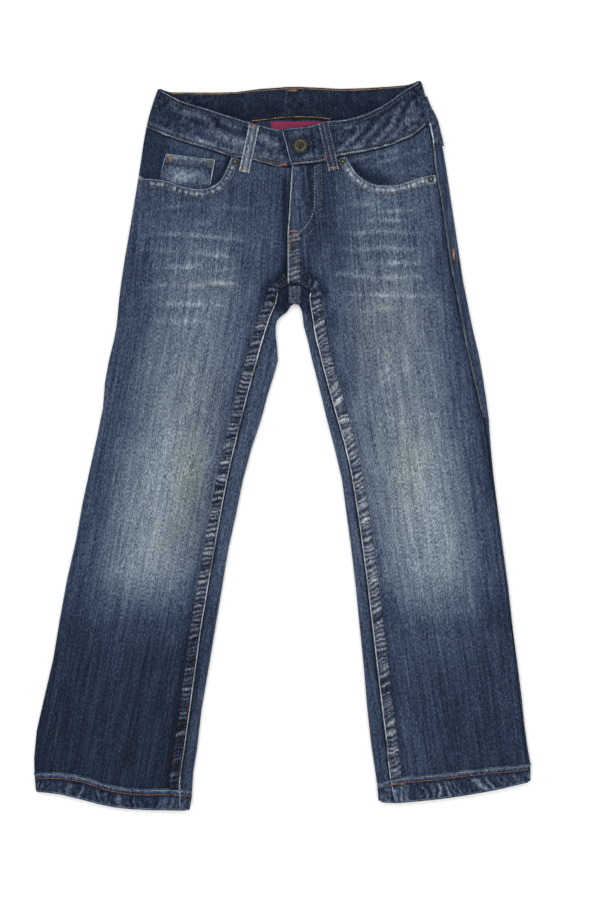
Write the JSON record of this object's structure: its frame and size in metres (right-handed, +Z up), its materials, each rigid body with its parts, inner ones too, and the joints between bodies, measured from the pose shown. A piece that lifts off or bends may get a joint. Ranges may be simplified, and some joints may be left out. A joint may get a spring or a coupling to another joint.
{
  "type": "child's jeans",
  "caption": "Faded blue denim jeans laid flat, front side up, with patch and hip pockets, belt loops, puckered inseams, turned hems and a buttoned fly.",
  "frame": {"origin": "middle of the garment's outline, on the surface it lies on", "axes": "+Y from the hems to the waist, +X to the viewer's right, +Z up out of the front of the jeans"},
  "size_m": [0.5114, 0.7504, 0.0108],
  "materials": {
    "denim": "washed twill, faded at the thighs and knees",
    "denim_seams": "washed twill, puckered and worn at the seams",
    "denim_loops": "washed twill, worn pale",
    "label_cloth": "plain woven satin",
    "old_bronze": "antique, brushed"
  },
  "bodies": {
    "root": {"front_left": "denim", "front_right": "denim", "back_left": "denim", "back_right": "denim", "yoke_left": "denim", "yoke_right": "denim", "back_pocket_left": "denim", "back_pocket_right": "denim", "facing_left": "denim", "facing_right": "denim", "coin_pocket": "denim", "waistband": "denim", "hem_left": "denim_seams", "hem_right": "denim_seams", "inseam_fell_left": "denim_seams", "inseam_fell_right": "denim_seams", "rise_fell_front": "denim_seams", "rise_fell_back": "denim_seams", "mouth_band_left": "denim_seams", "mouth_band_right": "denim_seams", "loop_front_left": "denim_loops", "loop_front_right": "denim_loops", "loop_side_right": "denim_loops", "loop_side_left": "denim_loops", "loop_back": "denim_loops", "label": "label_cloth", "button": "old_bronze", "rivet_1": "old_bronze", "rivet_2": "old_bronze", "rivet_3": "old_bronze"}
  },
  "joints": []
}
